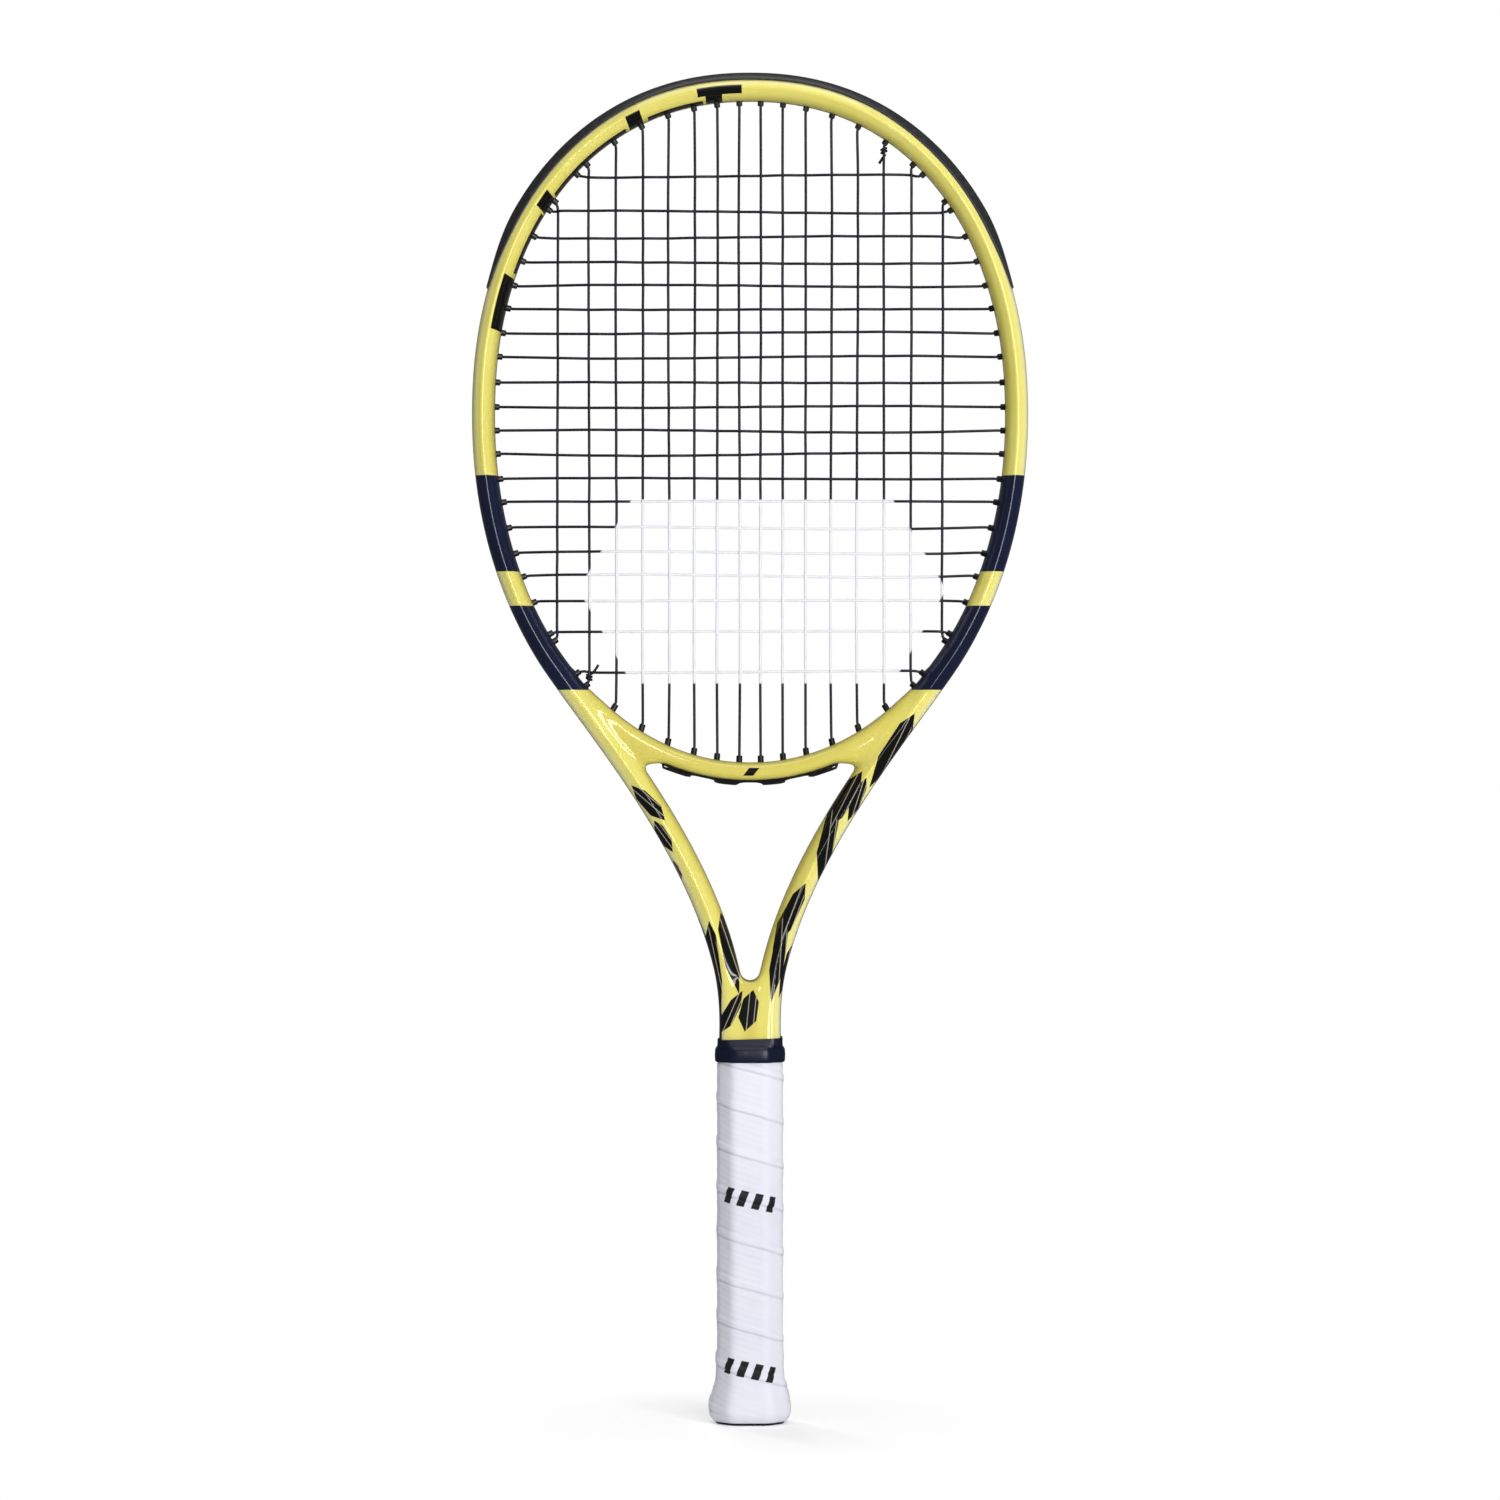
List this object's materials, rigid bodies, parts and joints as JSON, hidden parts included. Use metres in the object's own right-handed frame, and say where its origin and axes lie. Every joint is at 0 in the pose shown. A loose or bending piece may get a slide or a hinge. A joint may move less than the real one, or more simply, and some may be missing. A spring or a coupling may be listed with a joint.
{
  "type": "tennis racket",
  "caption": "Strung junior tennis racket with a hollow hairpin frame, throat bridge, woven string bed, wrapped grip and a rubber collar that slides up the shaft.",
  "frame": {"origin": "centre of the butt cap's bottom face, which is the bottom centre of the whole racket's box", "axes": "+Z along the racket from the butt to the tip of the head, X across the head in the string plane, front of the strings facing -Y"},
  "size_m": [0.2716, 0.0364, 0.6607],
  "materials": {
    "frame_lacquer": "pearl lemon yellow lacquer over carbon laminate, satin gloss, with black bands and accents",
    "black_nylon": "black moulded nylon, satin",
    "string_navy": "dark navy synthetic string, slightly glossy, with a white ink stencil",
    "handle_foam": "moulded polyurethane foam, matt",
    "cap_plastic": "black moulded plastic, satin",
    "staple_steel": "bright wire",
    "white_grip": "white synthetic leather, soft, lightly perforated",
    "finishing_tape": "black vinyl tape",
    "collar_rubber": "black soft rubber, matt"
  },
  "bodies": {
    "racket": {"frame_tube": "frame_lacquer", "throat_bridge": "frame_lacquer", "bumper_guard": "black_nylon", "side_grommet_strip_right": "black_nylon", "side_grommet_strip_left": "black_nylon", "bridge_grommet_strip": "black_nylon", "string": "string_navy", "handle_pallet": "handle_foam", "butt_cap": "cap_plastic", "cap_staple_front_right": "staple_steel", "cap_staple_front_left": "staple_steel", "cap_staple_back_right": "staple_steel", "cap_staple_back_left": "staple_steel", "grip_staple": "staple_steel", "grip_tape": "white_grip", "finishing_tape": "finishing_tape"},
    "collar": {"grip_collar": "collar_rubber"}
  },
  "joints": [
    {"name": "collar_slide", "type": "slide", "parent": "racket", "child": "collar", "axis": [0, 0, 1], "range_m": [0, 0.01]}
  ]
}
